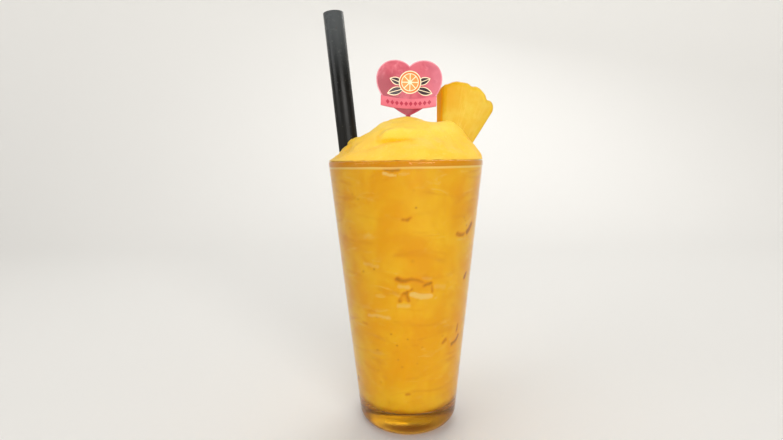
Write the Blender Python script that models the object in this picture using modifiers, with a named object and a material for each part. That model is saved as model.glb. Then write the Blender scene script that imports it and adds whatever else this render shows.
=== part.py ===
"""A tall conical glass of thick fruit smoothie, heaped above its rim.

A wide black straw, a pineapple chunk and a heart-shaped pick stand in the heap. Metres, +Z up. The origin is
the middle of the glass's foot, on the surface that it stands on. The heart faces -Y.
"""

import math

import bmesh
import bpy
from mathutils import Matrix, Vector, noise

# The glass
GLASS_HEIGHT = 0.155
RIM_RADIUS = 0.044
FOOT_RADIUS = 0.0285
RIM_WALL = 0.0020
FLOOR_THICKNESS = 0.014
FLOOR_RADIUS = 0.0270
HEEL_ROUNDING = 0.0080
FLOOR_ROUNDING = 0.0060
GLASS_STEPS = 64

# The space that touching pieces keep
GAP = 0.0003

# The smoothie: it touches the glass up to the contact line, draws back from the rim, and is heaped above it
CONTACT_BELOW_RIM = 0.0044
HEAP_RISE = 0.0247
HEAP_RADIUS = 0.0402
HEAP_SPREAD_POWER = 1.75
HEAP_SHOULDER_POWER = 0.82
HEAP_RINGS = 17
SMOOTHIE_STEPS = 72
RIGHT_BULGE = 0.0045
RIGHT_BULGE_SPREAD = math.radians(34)
COARSE_CRAG = (0.013, 0.0012)
FINE_CRAG = (0.0055, 0.0008)

# Rises and hollows of the heap: where the middle is, how wide it is along X and Y, and how high it stands
SHOULDER = (0.0265, -0.0060, 0.0080, 0.0090, 0.0048)
SADDLE = (0.0150, -0.0050, 0.0050, 0.0080, -0.0014)
LEFT_DIP = (-0.0205, -0.0040, 0.0050, 0.0090, -0.0028)
LEFT_LEDGE = (-0.0300, -0.0060, 0.0034, 0.0040, 0.0010)
LEFT_NOTCH = (-0.0365, -0.0040, 0.0030, 0.0040, -0.0020)
FRONT_CREASE = (-0.0010, -0.0308, 0.0095, 0.0020, -0.0020)
CREASE_LIP = (-0.0010, -0.0262, 0.0095, 0.0026, 0.0010)
BACK_HUMP = (0.0020, 0.0220, 0.0080, 0.0080, 0.0022)
HEAP_FORMS = (SHOULDER, SADDLE, LEFT_DIP, LEFT_LEDGE, LEFT_NOTCH, FRONT_CREASE, CREASE_LIP, BACK_HUMP)

# The straw leans out to the left, just behind the middle of the glass
STRAW_RADIUS = 0.00575
STRAW_WALL = 0.00045
STRAW_FOOT_Z = 0.0190
STRAW_TOP_Z = 0.2380
STRAW_AT_RIM = (-0.0323, 0.0040)
STRAW_LEAN = 0.091
STRAW_STEPS = 40

# The pineapple chunk: a wedge that leans out to the right, its narrow end sunk in the heap. Its outline is
# measured from its apex, where its sides would meet. The outer side is an arc with notches, and each notch is
# its angle, width and depth.
CHUNK_THICKNESS = 0.0190
CHUNK_HALF_TAPER = math.radians(16.4)
CHUNK_NARROW_END = 0.0185
CHUNK_ARC_CENTRE = (-0.0024, 0.0420)
CHUNK_ARC_RADIUS = 0.0231
CHUNK_ARC_FROM = math.radians(-40.5)
CHUNK_ARC_TO = math.radians(52)
CHUNK_ARC_STEPS = 30
CHUNK_NOTCHES = (
    (math.radians(-30), math.radians(3.5), 0.0005),
    (math.radians(5.5), math.radians(5), 0.0011),
    (math.radians(34), math.radians(5), 0.0015),
)
CHUNK_CORNER = 0.0028
CHUNK_BEVEL = 0.0010
CHUNK_SLOT_TOP = 0.0480
CHUNK_APEX = (0.0201, 0.0114, -0.0196)
CHUNK_LEAN = math.radians(16.4)
CHUNK_TURN = math.radians(6)

# The heart-shaped pick: a flat plate with a banner across it and a spike below, in its own plane from its tip
HEART_HALF_WIDTH = 0.0185
HEART_WIDEST = 0.0205
HEART_LOBE_X = 0.0082
HEART_TOP = 0.0306
HEART_CLEFT = 0.0273
HEART_THICKNESS = 0.0015
BANNER_HALF_WIDTH = 0.0157
BANNER_MIDDLE = 0.0068
BANNER_HEIGHT = 0.0056
BANNER_SAG = 0.0019
BANNER_PROUD = 0.0003
SPIKE_WIDTH = 0.0026
SPIKE_LENGTH = 0.0150
SPIKE_SLOT_TOP = 0.0060
SPIKE_OVERLAP = 0.0030
HEART_EDGE_BEVEL = 0.00035
HEART_TIP = (0.0018, -0.0010)
HEART_ROLL = math.radians(2.4)

CURVE_STEPS = 9


def clear_scene():
    for old in list(bpy.data.objects):
        bpy.data.objects.remove(old)


def make_material(name, colour, roughness, transmission=0.0):
    made = bpy.data.materials.new(name)
    made.use_nodes = True
    shader = made.node_tree.nodes["Principled BSDF"]
    shader.inputs["Base Color"].default_value = (*colour, 1.0)
    shader.inputs["Roughness"].default_value = roughness
    shader.inputs["Metallic"].default_value = 0.0
    shader.inputs["Transmission Weight"].default_value = transmission
    return made


def add_object(name, data, collection, finish=None):
    made = bpy.data.objects.new(name, data)
    collection.objects.link(made)
    if finish is not None:
        data.materials.clear()
        data.materials.append(finish)
    return made


def baked(obj, name):
    """A plain mesh object of the evaluated shape, in the same place, which the given object makes way for."""
    bpy.context.view_layer.update()
    evaluated = obj.evaluated_get(bpy.context.evaluated_depsgraph_get())
    mesh = bpy.data.meshes.new_from_object(evaluated)
    work = bmesh.new()
    work.from_mesh(mesh)
    bmesh.ops.remove_doubles(work, verts=work.verts, dist=0.00001)
    work.to_mesh(mesh)
    work.free()
    made = bpy.data.objects.new(name, mesh)
    obj.users_collection[0].objects.link(made)
    made.matrix_world = obj.matrix_world
    bpy.data.objects.remove(obj)
    return made


def arc(centre, radius, start, end, count):
    """Points from angle start to angle end, in degrees, round a centre."""
    return [
        (
            centre[0] + radius * math.cos(math.radians(start + (end - start) * i / count)),
            centre[1] + radius * math.sin(math.radians(start + (end - start) * i / count)),
        )
        for i in range(count + 1)
    ]


def turned(name, profile, steps, collection, finish=None, closed=False):
    """A profile of (radius, height) points that a Screw modifier turns round the Z axis."""
    count = len(profile)
    edges = [(i, i + 1) for i in range(count - 1)]
    if closed:
        edges.append((count - 1, 0))
    mesh = bpy.data.meshes.new(name)
    mesh.from_pydata([(radius, 0.0, height) for radius, height in profile], edges, [])
    made = add_object(name, mesh, collection, finish)
    screw = made.modifiers.new("turn", "SCREW")
    screw.steps = steps
    screw.render_steps = steps
    screw.use_merge_vertices = True
    screw.merge_threshold = 0.00001
    screw.use_smooth_shade = True
    return made


def outer_radius(height):
    return FOOT_RADIUS + (RIM_RADIUS - FOOT_RADIUS) * height / GLASS_HEIGHT


def inner_radius(height):
    rim_inside = RIM_RADIUS - RIM_WALL
    share = (height - FLOOR_THICKNESS) / (GLASS_HEIGHT - FLOOR_THICKNESS)
    return FLOOR_RADIUS + (rim_inside - FLOOR_RADIUS) * share


def glass_profile():
    """From the inner floor's middle up the inner wall, over the rim, down the outer wall and under the foot."""
    floor_corner = arc(
        (inner_radius(FLOOR_THICKNESS + FLOOR_ROUNDING) - FLOOR_ROUNDING, FLOOR_THICKNESS + FLOOR_ROUNDING),
        FLOOR_ROUNDING, -90, 0, 4,
    )
    lip = RIM_WALL / 2
    rim = arc((RIM_RADIUS - lip, GLASS_HEIGHT - lip), lip, 180, 0, 4)
    heel = arc((outer_radius(HEEL_ROUNDING) - HEEL_ROUNDING, HEEL_ROUNDING), HEEL_ROUNDING, 0, -90, 5)
    return [(0.0, FLOOR_THICKNESS), *floor_corner, *rim, *heel, (0.0, 0.0)]


def make_glass(collection):
    finish = make_material("clear_glass", (0.95, 0.97, 0.96), 0.02, transmission=1.0)
    return turned("glass", glass_profile(), GLASS_STEPS, collection, finish)


def heap_height(radius):
    share = min(1.0, radius / HEAP_RADIUS)
    return HEAP_RISE * (1.0 - share**HEAP_SPREAD_POWER) ** HEAP_SHOULDER_POWER


def smoothie_profile():
    """From the heap's top out to the rim, down the wall where it touches the glass, and along the floor."""
    heap = []
    for ring in range(HEAP_RINGS):
        radius = HEAP_RADIUS * math.sin(math.pi / 2 * ring / HEAP_RINGS)
        heap.append((radius, GLASS_HEIGHT + heap_height(radius)))
    contact = GLASS_HEIGHT - CONTACT_BELOW_RIM
    touching = inner_radius(contact) - GAP
    neck = [
        (HEAP_RADIUS, GLASS_HEIGHT),
        (HEAP_RADIUS + 0.15 * (touching - HEAP_RADIUS), GLASS_HEIGHT - 0.55 * CONTACT_BELOW_RIM),
        (HEAP_RADIUS + 0.65 * (touching - HEAP_RADIUS), GLASS_HEIGHT - 0.88 * CONTACT_BELOW_RIM),
        (touching, contact),
    ]
    corner_z = FLOOR_THICKNESS + FLOOR_ROUNDING
    corner = arc((inner_radius(corner_z) - FLOOR_ROUNDING, corner_z), FLOOR_ROUNDING - GAP, 0, -90, 4)
    return [*heap, *neck, *corner, (0.0, FLOOR_THICKNESS + GAP)]


def smoothstep(low, high, value):
    share = min(1.0, max(0.0, (value - low) / (high - low)))
    return share * share * (3.0 - 2.0 * share)


def shape_heap(mesh):
    """Moves the points above the rim: the bulge over the rim's right, the rises and hollows, and the crags."""
    for vertex in mesh.vertices:
        point = vertex.co
        above = point.z - GLASS_HEIGHT
        if above < 0.0005:
            continue
        radius = math.hypot(point.x, point.y)
        out = Vector((point.x, point.y, 0.0)) / max(radius, 0.0001)
        turn = math.atan2(point.y, point.x)
        push = RIGHT_BULGE * math.exp(-((turn / RIGHT_BULGE_SPREAD) ** 2))
        push *= smoothstep(0.0005, 0.0030, above) * smoothstep(0.012, 0.030, radius)
        point += out * push
        free = smoothstep(0.0005, 0.0040, above)
        for x, y, wide, deep, rise in HEAP_FORMS:
            apart = ((point.x - x) / wide) ** 2 + ((point.y - y) / deep) ** 2
            point.z += free * rise * math.exp(-apart / 2.0)
        for size, depth in (COARSE_CRAG, FINE_CRAG):
            crag = depth * noise.noise(point / size)
            point += (out * 0.6 + Vector((0.0, 0.0, 0.8))) * crag * free


def straw_placing():
    """Puts the straw's own axis, with its foot at the origin, where the straw stands."""
    lean = Vector((-STRAW_LEAN, 0.0, 1.0))
    foot = Vector((*STRAW_AT_RIM, GLASS_HEIGHT)) + lean * (STRAW_FOOT_Z - GLASS_HEIGHT)
    length = (STRAW_TOP_Z - STRAW_FOOT_Z) * lean.length
    turn = Vector((0.0, 0.0, 1.0)).rotation_difference(lean).to_matrix().to_4x4()
    return Matrix.Translation(foot) @ turn, length


def straw_tube(name, collection, gap, top, finish=None):
    """The straw, or with a gap the slot that it stands in."""
    outer = STRAW_RADIUS + gap
    inner = STRAW_RADIUS - STRAW_WALL - gap
    profile = [(inner, top), (outer, top), (outer, -gap), (inner, -gap)]
    return turned(name, profile, STRAW_STEPS, collection, finish, closed=True)


def make_straw(collection):
    placing, length = straw_placing()
    finish = make_material("black_plastic", (0.02, 0.02, 0.02), 0.25)
    straw = straw_tube("straw", collection, 0.0, length, finish)
    straw.matrix_world = placing
    return straw


def flat_piece(name, outline, thickness, collection, finish=None):
    """A flat outline of (x, z) points as a 2D curve, given its thickness along Y."""
    curve = bpy.data.curves.new(name, "CURVE")
    curve.dimensions = "2D"
    curve.fill_mode = "BOTH"
    curve.extrude = thickness / 2
    spline = curve.splines.new("POLY")
    spline.points.add(len(outline) - 1)
    for point, (x, z) in zip(spline.points, outline):
        point.co = (x, z, 0.0, 1.0)
    spline.use_cyclic_u = True
    made = add_object(name, curve, collection, finish)
    made.rotation_euler = (math.pi / 2, 0.0, 0.0)
    return made


def chunk_half_width(along):
    return along * math.tan(CHUNK_HALF_TAPER)


def chunk_outline():
    """The wedge, from its apex: the notched outer arc, the right side, the narrow end and the left side."""
    centre_x, centre_z = CHUNK_ARC_CENTRE
    outline = []
    for i in range(CHUNK_ARC_STEPS + 1):
        angle = CHUNK_ARC_FROM + (CHUNK_ARC_TO - CHUNK_ARC_FROM) * i / CHUNK_ARC_STEPS
        radius = CHUNK_ARC_RADIUS
        for notch, width, depth in CHUNK_NOTCHES:
            radius -= depth * math.exp(-(((angle - notch) / width) ** 2))
        outline.append((centre_x + radius * math.sin(angle), centre_z + radius * math.cos(angle)))
    below_corner = outline[-1][1] - CHUNK_CORNER
    narrow = chunk_half_width(CHUNK_NARROW_END)
    return [
        *outline,
        (chunk_half_width(below_corner), below_corner),
        (narrow, CHUNK_NARROW_END),
        (-narrow, CHUNK_NARROW_END),
    ]


def chunk_slot_outline():
    low = CHUNK_NARROW_END - GAP
    spare = GAP / math.cos(CHUNK_HALF_TAPER)
    bottom = chunk_half_width(CHUNK_NARROW_END) + spare
    top = chunk_half_width(CHUNK_SLOT_TOP) + spare
    return [(-top, CHUNK_SLOT_TOP), (top, CHUNK_SLOT_TOP), (bottom, low), (-bottom, low)]


def chunk_placing():
    lean = Matrix.Rotation(CHUNK_LEAN, 4, "Y")
    turn = Matrix.Rotation(CHUNK_TURN, 4, "Z")
    x, y, above = CHUNK_APEX
    return Matrix.Translation((x, y, GLASS_HEIGHT + above)) @ turn @ lean


def make_chunk(collection):
    finish = make_material("pineapple_flesh", (0.90, 0.56, 0.06), 0.45)
    flat = flat_piece("chunk_outline", chunk_outline(), CHUNK_THICKNESS, collection, finish)
    chunk = baked(flat, "pineapple_chunk")
    chunk.matrix_world = chunk_placing() @ chunk.matrix_world
    bevel = chunk.modifiers.new("soft_edges", "BEVEL")
    bevel.width = CHUNK_BEVEL
    bevel.segments = 2
    bevel.angle_limit = math.radians(50)
    return chunk


def heart_outline():
    """Half of the heart is three cubic curves from its tip to its cleft; the other half mirrors them."""
    side = ((0.0, 0.0), (0.0060, 0.0026), (HEART_HALF_WIDTH, 0.0095), (HEART_HALF_WIDTH, HEART_WIDEST))
    lobe = (side[3], (HEART_HALF_WIDTH, 0.0265), (0.0138, HEART_TOP), (HEART_LOBE_X, HEART_TOP))
    inner = (lobe[3], (0.0052, HEART_TOP), (0.0022, 0.0296), (0.0, HEART_CLEFT))
    right = []
    for start, pull, push, end in (side, lobe, inner):
        for i in range(CURVE_STEPS):
            t = i / CURVE_STEPS
            weights = ((1 - t) ** 3, 3 * t * (1 - t) ** 2, 3 * t * t * (1 - t), t**3)
            parts = list(zip(weights, (start, pull, push, end)))
            right.append((sum(w * p[0] for w, p in parts), sum(w * p[1] for w, p in parts)))
    return [*right, (0.0, HEART_CLEFT), *[(-x, z) for x, z in reversed(right[1:])]]


def banner_outline():
    """A band that sags in the middle and ends just past the heart's sides."""
    steps = 2 * CURVE_STEPS
    across = [-1 + 2 * i / steps for i in range(steps + 1)]
    bottom = [(BANNER_HALF_WIDTH * s, BANNER_MIDDLE + BANNER_SAG * s * s - BANNER_HEIGHT / 2) for s in across]
    return bottom + [(x, z + BANNER_HEIGHT) for x, z in reversed(bottom)]


def spike_outline():
    half = SPIKE_WIDTH / 2
    shoulder = -SPIKE_LENGTH + SPIKE_WIDTH
    return [
        (-half, SPIKE_OVERLAP),
        (-half, shoulder),
        (0.0, -SPIKE_LENGTH),
        (half, shoulder),
        (half, SPIKE_OVERLAP),
    ]


def make_heart(collection, parts, tip_z):
    finish = make_material("pink_plastic", (0.66, 0.15, 0.18), 0.30)
    placing = Matrix.Translation((*HEART_TIP, tip_z)) @ Matrix.Rotation(HEART_ROLL, 4, "Y")
    flat = flat_piece("heart_outline", heart_outline(), HEART_THICKNESS, collection, finish)
    heart = baked(flat, "heart_plate")
    banner_thickness = HEART_THICKNESS + 2 * BANNER_PROUD
    spike_thickness = HEART_THICKNESS - 2 * BANNER_PROUD
    for name, outline, thickness in (
        ("banner", banner_outline(), banner_thickness),
        ("spike", spike_outline(), spike_thickness),
    ):
        piece = baked(flat_piece(name + "_outline", outline, thickness, parts), name)
        piece.matrix_world = placing @ piece.matrix_world
    heart.matrix_world = placing @ heart.matrix_world
    join = heart.modifiers.new("one_plate", "BOOLEAN")
    join.operation = "UNION"
    join.operand_type = "COLLECTION"
    join.collection = parts
    whole = baked(heart, "heart_pick")
    for piece in list(parts.objects):
        bpy.data.objects.remove(piece)
    bevel = whole.modifiers.new("soft_edges", "BEVEL")
    bevel.width = HEART_EDGE_BEVEL
    bevel.segments = 1
    bevel.angle_limit = math.radians(60)
    return whole


def spike_slot(collection, tip_z):
    width = SPIKE_WIDTH + 2 * GAP
    depth = HEART_THICKNESS + 2 * GAP
    bottom = -SPIKE_LENGTH - GAP
    height = SPIKE_SLOT_TOP - bottom
    bpy.ops.mesh.primitive_cube_add(size=1.0)
    slot = bpy.context.object
    slot.name = "spike_slot"
    stretch = Matrix.Diagonal((width, depth, height, 1.0))
    slot.data.transform(Matrix.Translation((0.0, 0.0, bottom + height / 2)) @ stretch)
    slot.matrix_world = Matrix.Translation((*HEART_TIP, tip_z)) @ Matrix.Rotation(HEART_ROLL, 4, "Y")
    for home in list(slot.users_collection):
        home.objects.unlink(slot)
    collection.objects.link(slot)
    return slot


def make_smoothie(collection):
    finish = make_material("smoothie", (0.93, 0.55, 0.07), 0.40)
    rough = turned("smoothie_profile", smoothie_profile(), SMOOTHIE_STEPS, collection, finish)
    whole = baked(rough, "smoothie")
    shape_heap(whole.data)
    return whole


def heap_top_at(smoothie, x, y):
    hit, point, _, _ = smoothie.ray_cast(Vector((x, y, GLASS_HEIGHT + 0.1)), Vector((0.0, 0.0, -1.0)))
    return point.z if hit else GLASS_HEIGHT


def cut_slots(smoothie, cutters, tip_z):
    """The smoothie stands clear of the straw's wall, the chunk's narrow end and the pick's spike."""
    placing, _ = straw_placing()
    past_heap = GLASS_HEIGHT + HEAP_RISE + 0.010 - STRAW_FOOT_Z
    straw_slot = straw_tube("straw_slot", cutters, GAP, past_heap)
    straw_slot.matrix_world = placing
    flat = flat_piece("chunk_slot_outline", chunk_slot_outline(), CHUNK_THICKNESS + 2 * GAP, cutters)
    chunk_slot = baked(flat, "chunk_slot")
    chunk_slot.matrix_world = chunk_placing() @ chunk_slot.matrix_world
    for slot in (straw_slot, chunk_slot, spike_slot(cutters, tip_z)):
        slot.hide_render = True
        slot.display_type = "WIRE"
        cut = smoothie.modifiers.new("slot", "BOOLEAN")
        cut.operation = "DIFFERENCE"
        cut.object = slot


def main():
    clear_scene()
    root = bpy.context.scene.collection
    model = bpy.data.collections.new("fruit_smoothie")
    cutters = bpy.data.collections.new("cutters")
    heart_parts = bpy.data.collections.new("heart_parts")
    for group in (model, cutters, heart_parts):
        root.children.link(group)
    make_glass(model)
    make_straw(model)
    make_chunk(model)
    smoothie = make_smoothie(model)
    bpy.context.view_layer.update()
    tip_z = heap_top_at(smoothie, *HEART_TIP) + GAP
    make_heart(model, heart_parts, tip_z)
    cut_slots(smoothie, cutters, tip_z)


main()
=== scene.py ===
import math
import random

import bpy
from mathutils import Matrix, Vector, noise


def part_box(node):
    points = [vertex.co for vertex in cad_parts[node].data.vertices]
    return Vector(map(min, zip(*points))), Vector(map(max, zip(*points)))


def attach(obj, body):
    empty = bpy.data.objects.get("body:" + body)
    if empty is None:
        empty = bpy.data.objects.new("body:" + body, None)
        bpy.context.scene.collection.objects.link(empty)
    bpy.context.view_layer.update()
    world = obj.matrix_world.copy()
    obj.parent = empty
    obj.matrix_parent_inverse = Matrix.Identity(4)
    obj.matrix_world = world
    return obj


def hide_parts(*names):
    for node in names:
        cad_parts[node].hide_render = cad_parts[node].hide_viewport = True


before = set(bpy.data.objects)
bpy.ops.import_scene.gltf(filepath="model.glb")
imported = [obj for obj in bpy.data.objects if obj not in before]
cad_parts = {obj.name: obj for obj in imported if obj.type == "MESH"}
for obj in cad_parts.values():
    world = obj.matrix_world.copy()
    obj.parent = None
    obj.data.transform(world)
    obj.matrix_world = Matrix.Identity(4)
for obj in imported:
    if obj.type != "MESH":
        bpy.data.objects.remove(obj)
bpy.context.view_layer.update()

# A conical glass of frozen mango smoothie, heaped above its rim, with a straw, a pineapple chunk and a
# heart-shaped pick. Metres, +Z up. The heart faces -Y, and the camera stands in front of it.

# Sizes that the frame gives
_, glass_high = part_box("glass")
pick_low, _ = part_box("heart_pick")
GLASS_HEIGHT = glass_high.z
RIM_RADIUS = glass_high.x

# The glass
FOOT_RADIUS = 0.0285
RIM_WALL = 0.0020
FLOOR_THICKNESS = 0.014
FLOOR_RADIUS = 0.0270
HEEL_ROUNDING = 0.0080
FLOOR_ROUNDING = 0.0060
GLASS_STEPS = 192
CORNER_STEPS = 12
HEEL_STEPS = 14
RIM_STEPS = 12
WALL_RINGS = 36
FOOT_RING = 0.018
PUSH_UP = 0.0016
PUSH_UP_RADIUS = 0.010

# The smoothie in the glass: how far it reaches into the wall, where it leaves the wall below the rim, and
# how far below the rim its shaded band ends and the gleam under that band
WALL_REACH = 0.00018
CONTACT_BELOW_RIM = 0.0007
CONTACT_Z = GLASS_HEIGHT - CONTACT_BELOW_RIM
RIM_SHADE = (0.0026, 0.0032)
RIM_GLEAM = (0.0034, 0.0043)
SMOOTHIE_STEPS = 336
WALL_RING = 0.00078
NECK_RINGS = 5
NECK_CURVE = 2.4
NECK_WANDER = 0.0009
NECK_WAVE = 0.004

# The heap above the rim
HEAP_RISE = 0.0247
HEAP_RADIUS = 0.0412
HEAP_SPREAD_POWER = 1.75
HEAP_SHOULDER_POWER = 0.82
HEAP_RINGS = 72

# Its bulge over the rim's right and its spill at the left: how far each reaches out and how far it spreads
# round the rim, and the heights above the rim and the radii between which it sets in
RIGHT_BULGE = 0.0036
RIGHT_BULGE_SPREAD = math.radians(34)
BULGE_AT_RIM = 0.78
BULGE_HEIGHTS = (0.0005, 0.0030)
BULGE_RADII = (0.012, 0.030)
SPILL_REACH = 0.0027
SPILL_SPREAD = math.radians(52)
SPILL_HEIGHTS = (0.0040, 0.0)
SPILL_RADII = (0.030, 0.036)

# The heights above the rim between which the rises, hollows and crags set in
CRAG_HEIGHTS = (0.0005, 0.0040)

# The crags of the heap, from the coarse to the ice's own: how large they are, and how deep
COARSE_CRAG = (0.013, 0.0011)
FINE_CRAG = (0.0055, 0.00048)
SMALL_CRAG = (0.0021, 0.00020)
ICE_GRAIN = (0.0009, 0.00009)
CRAGS = (COARSE_CRAG, FINE_CRAG, SMALL_CRAG, ICE_GRAIN)

# The crumbs at the heap's left: the X between which the crags grow, and how much deeper they become
LEFT_CRUMBS = (-0.0250, -0.0310)
LEFT_ROUGHNESS = 2.2

# Rises and hollows of the heap: the middle, how wide each is along X and Y, and how high it stands
SHOULDER = (0.0265, -0.0060, 0.0080, 0.0090, 0.0048)
SADDLE = (0.0150, -0.0050, 0.0050, 0.0080, -0.0014)
LEFT_DIP = (-0.0205, -0.0040, 0.0050, 0.0090, -0.0028)
LEFT_LEDGE = (-0.0285, -0.0050, 0.0030, 0.0050, -0.0010)
LEFT_NOTCH = (-0.0358, -0.0040, 0.0026, 0.0045, -0.0024)
FRONT_CREASE = (-0.0052, -0.0298, 0.0075, 0.0014, -0.0024)
CREASE_LIP = (-0.0052, -0.0262, 0.0080, 0.0022, 0.0011)
CREASE_RISE = (-0.0135, -0.0255, 0.0015, 0.0050, -0.0009)
FRONT_BUMP = (0.0190, -0.0325, 0.0020, 0.0022, 0.0011)
BACK_HUMP = (0.0020, 0.0220, 0.0080, 0.0080, 0.0022)
HEAP_FORMS = (
    SHOULDER, SADDLE, LEFT_DIP, LEFT_LEDGE, LEFT_NOTCH,
    FRONT_CREASE, CREASE_LIP, CREASE_RISE, FRONT_BUMP, BACK_HUMP,
)

# Dabs of painted shade in the heap's creases, dents and crags, and one painted highlight: where each is,
# how wide it is along X, Y and Z, and its painted shading
HEAP_DABS = (
    (0.0005, -0.0290, 0.1648, 0.0056, 0.0050, 0.0016, -0.62),
    (-0.0085, -0.0290, 0.1650, 0.0056, 0.0050, 0.0016, -0.66),
    (-0.0145, -0.0270, 0.1690, 0.0014, 0.0050, 0.0036, -0.40),
    (0.0185, -0.0260, 0.1635, 0.0022, 0.0060, 0.0022, -0.30),
    (0.0190, -0.0320, 0.1580, 0.0020, 0.0030, 0.0011, 0.55),
    (0.0400, -0.0100, 0.1575, 0.0016, 0.0040, 0.0008, -1.0),
    (0.0170, 0.0100, 0.1700, 0.0080, 0.0060, 0.0020, -0.40),
)

# Marks on the smoothie's wall, where ice and air lie against the glass, coloured with painted shade under
# their upper edges and painted light on their lower ledges. Each is a stroke: its points as (degrees round
# from the front, height in mm), half its width in mm, and its painted shading, from -1 dark painted shade
# to 1 pale painted light.
MARKS = {
    "arch": (((-7.8, 94.4), (-2.6, 93.6), (3.8, 94.3), (11.0, 93.1), (14.2, 91.6)), 1.10, -0.70),
    "arch_end": (((-8.6, 94.8), (-7.0, 94.6)), 0.55, -0.85),
    "body": (((4.0, 91.4), (12.2, 90.2), (19.8, 89.8)), 2.2, -0.14),
    "body_top": (((15.0, 90.9), (20.6, 91.9)), 0.70, -0.8),
    "nose": (((22.0, 89.8), (21.8, 86.6)), 0.55, -0.7),
    "tail": (((3.4, 88.9), (-1.8, 86.5), (-5.8, 82.4)), 0.90, -0.7),
    "tail_fill": (((-2.4, 84.2), (0.6, 83.4)), 1.5, -0.25),
    "tail_edge": (((0.6, 86.4), (1.6, 82.6)), 0.60, -0.7),
    "gap": (((-6.2, 90.6), (1.6, 90.2)), 1.0, 0.60),
    "ledge": (((4.6, 86.2), (12.0, 84.9), (20.4, 84.8)), 1.35, 0.85),
    "under_tail": (((-7.2, 79.8), (1.8, 80.0)), 1.15, 0.55),
    "over_body": (((13.0, 95.0), (20.0, 94.4)), 0.9, 0.35),
    "wake": (((25.0, 89.6), (33.0, 89.0)), 1.3, 0.35),
    "small_mark": (((-2.8, 126.2), (0.6, 125.8), (3.6, 126.8)), 0.60, -0.75),
    "hook_low": (((43.5, 116.6), (47.5, 115.6), (52.0, 116.0)), 1.10, -0.68),
    "hook_high": (((56.5, 116.6), (60.0, 118.4), (63.0, 120.6)), 1.35, -0.85),
    "hook_pale": (((44.0, 113.6), (54.0, 113.4)), 0.6, 0.5),
    "right_slit": (((62.4, 92.6), (60.4, 90.6)), 1.15, -0.9),
    "low_slit": (((57.0, 63.6), (55.6, 60.4)), 0.80, -0.75),
    "low_hook": (((60.0, 56.8), (56.0, 54.4), (50.0, 53.4)), 1.10, -0.80),
    "low_slash": (((40.0, 57.6), (36.4, 56.0)), 0.90, -0.6),
    "left_streak": (((-37.0, 72.4), (-27.0, 73.2), (-16.0, 72.6)), 0.80, 0.60),
    "left_shade": (((-38.0, 75.0), (-30.0, 75.4)), 0.60, -0.3),
    "high_streak": (((-36.0, 101.6), (-24.0, 101.0)), 0.90, 0.40),
    "left_smudge": (((-45.0, 67.4), (-40.0, 66.8)), 0.60, -0.4),
    "left_spot": (((-69.5, 28.8), (-69.0, 27.4)), 0.80, -1.0),
    "foot_mark": (((-1.6, 27.8), (1.8, 28.0)), 0.70, -0.6),
    "rim_dip": (((-14.0, 150.9), (-9.0, 150.2), (-4.6, 150.9)), 0.95, -0.70),
    "dip_pale": (((-15.0, 149.3), (-11.0, 148.3), (-7.0, 148.1)), 0.60, 1.0),
    "dip_right": (((-4.0, 148.6), (2.0, 148.9)), 0.60, 0.5),
}
MARK_DEPTH = 0.00015
MARK_EDGE = (0.85, -0.65)
MARK_WANDER = ((0.0022, 0.55), (0.0010, 0.30))
BACK_MARKS = 9

# The straw
STRAW_RADIUS = 0.00575
STRAW_WALL = 0.00045
STRAW_FOOT_Z = 0.0190
STRAW_TOP_Z = 0.2380
STRAW_AT_RIM = (-0.0323, 0.0040)
STRAW_LEAN = Vector((-0.091, 0.0, 1.0))
STRAW_SIDES = 96
STRAW_EDGE = 0.00012

# The pineapple chunk, measured from its apex as the frame's own is
CHUNK_THICKNESS = 0.0190
CHUNK_HALF_TAPER = math.radians(16.4)
CHUNK_NARROW_END = 0.0185
CHUNK_ARC_CENTRE = Vector((-0.0024, 0.0420))
CHUNK_ARC_RADIUS = 0.0231
CHUNK_NOTCHES = (
    (math.radians(-30), math.radians(3.5), 0.0005),
    (math.radians(5.5), math.radians(5), 0.0011),
    (math.radians(34), math.radians(5), 0.0015),
)
CHUNK_ROUNDING = 0.0030
CHUNK_BLOCK = Vector((0.01395, CHUNK_THICKNESS / 2, 0.0225))
CHUNK_CUTS = 55
FIBRE_DEPTH = 0.00016
LUMP_DEPTH = 0.00035
RIND_DEPTH = 0.0005
CHUNK_PLACING = (
    Matrix.Translation((0.0201, 0.0114, GLASS_HEIGHT - 0.0196))
    @ Matrix.Rotation(math.radians(6), 4, "Z")
    @ Matrix.Rotation(math.radians(16.4), 4, "Y")
)

# The heart-shaped pick, measured in its own plane from its tip
HEART_HALF_WIDTH = 0.0185
HEART_WIDEST = 0.0205
HEART_LOBE_X = 0.0082
HEART_TOP = 0.0306
HEART_CLEFT = 0.0273
HEART_THICKNESS = 0.0015
HEART_BORDER = 0.0006
HEART_SUNK = 0.00012
BANNER_HALF_WIDTH = 0.0157
BANNER_MIDDLE = 0.0068
BANNER_HEIGHT = 0.0056
BANNER_SAG = 0.0019
BANNER_PROUD = 0.0003
DIAMOND_PITCH = 0.0026
DIAMOND_ROW_END = 0.0130
PICK_EDGE = 0.00022
SPIKE_WIDTH = 0.0026
SPIKE_LENGTH = 0.0150
HEART_ROLL = math.radians(2.4)
HEART_TIP = Vector((0.0018, -0.0010, pick_low.z + SPIKE_LENGTH * math.cos(HEART_ROLL)))
PICK_PLACING = Matrix.Translation(HEART_TIP) @ Matrix.Rotation(HEART_ROLL, 4, "Y")
CURVE_STEPS = 14

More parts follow.
